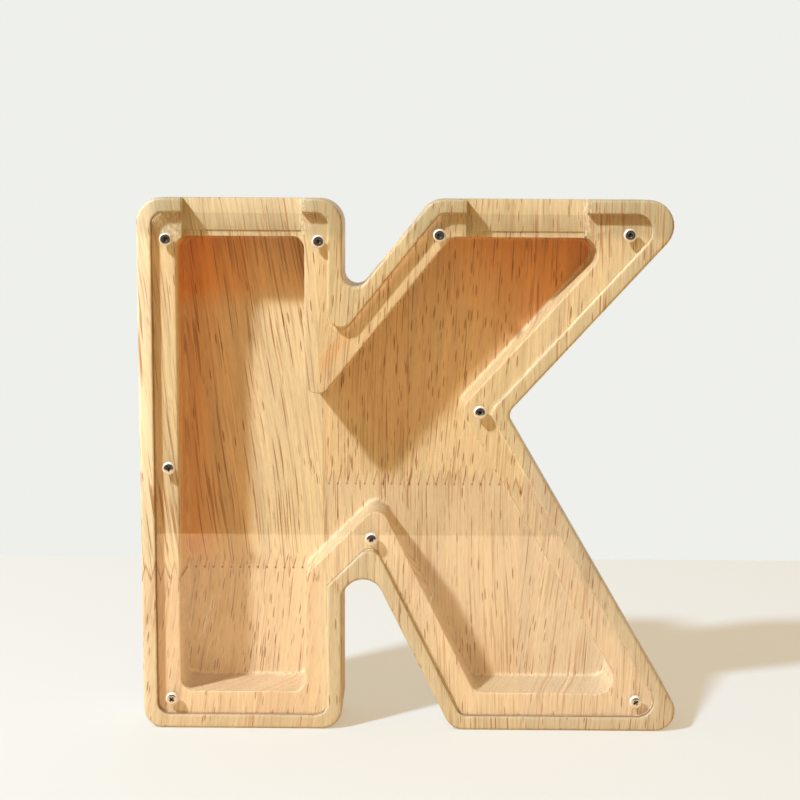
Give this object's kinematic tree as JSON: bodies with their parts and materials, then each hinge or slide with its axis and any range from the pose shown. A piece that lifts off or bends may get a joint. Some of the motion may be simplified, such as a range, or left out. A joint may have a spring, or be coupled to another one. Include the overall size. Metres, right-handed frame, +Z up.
{
  "type": "letter-shaped wooden money box",
  "caption": "Letter-shaped wooden coin bank with a clear screwed-on front, two coin slots at the top and a hollow that shows the savings inside.",
  "frame": {"origin": "middle of the box's footprint: centred left to right and front to back, on the surface it stands on", "axes": "+X to the reader's right, -Y towards the reader, out of the window, +Z up the letter; the board's depth lies along Y"},
  "size_m": [0.2116, 0.0307, 0.21],
  "materials": {
    "rubberwood": "pale edge-glued rubberwood, sanded, with a thin satin lacquer",
    "clear_acrylic": "clear cast acrylic sheet with polished faces and laser-cut edges",
    "plated_steel": "bright nickel-plated steel"
  },
  "bodies": {
    "case": {"case": "rubberwood"},
    "window": {"window": "clear_acrylic"},
    "screw_stem_top_left": {"screw_stem_top_left": "plated_steel"},
    "screw_stem_top_right": {"screw_stem_top_right": "plated_steel"},
    "screw_stem_middle": {"screw_stem_middle": "plated_steel"},
    "screw_stem_bottom": {"screw_stem_bottom": "plated_steel"},
    "screw_arm_top_left": {"screw_arm_top_left": "plated_steel"},
    "screw_arm_top_right": {"screw_arm_top_right": "plated_steel"},
    "screw_waist": {"screw_waist": "plated_steel"},
    "screw_arch": {"screw_arch": "plated_steel"},
    "screw_leg_bottom": {"screw_leg_bottom": "plated_steel"}
  },
  "joints": [
    {"name": "window_slide", "type": "slide", "parent": "case", "child": "window", "axis": [0, -1, 0], "range_m": [0, 0.04]},
    {"name": "screw_stem_top_left_slide", "type": "slide", "parent": "window", "child": "screw_stem_top_left", "axis": [0, -1, 0], "range_m": [0, 0.016]},
    {"name": "screw_stem_top_right_slide", "type": "slide", "parent": "window", "child": "screw_stem_top_right", "axis": [0, -1, 0], "range_m": [0, 0.016]},
    {"name": "screw_stem_middle_slide", "type": "slide", "parent": "window", "child": "screw_stem_middle", "axis": [0, -1, 0], "range_m": [0, 0.016]},
    {"name": "screw_stem_bottom_slide", "type": "slide", "parent": "window", "child": "screw_stem_bottom", "axis": [0, -1, 0], "range_m": [0, 0.016]},
    {"name": "screw_arm_top_left_slide", "type": "slide", "parent": "window", "child": "screw_arm_top_left", "axis": [0, -1, 0], "range_m": [0, 0.016]},
    {"name": "screw_arm_top_right_slide", "type": "slide", "parent": "window", "child": "screw_arm_top_right", "axis": [0, -1, 0], "range_m": [0, 0.016]},
    {"name": "screw_waist_slide", "type": "slide", "parent": "window", "child": "screw_waist", "axis": [0, -1, 0], "range_m": [0, 0.016]},
    {"name": "screw_arch_slide", "type": "slide", "parent": "window", "child": "screw_arch", "axis": [0, -1, 0], "range_m": [0, 0.016]},
    {"name": "screw_leg_bottom_slide", "type": "slide", "parent": "window", "child": "screw_leg_bottom", "axis": [0, -1, 0], "range_m": [0, 0.016]}
  ]
}
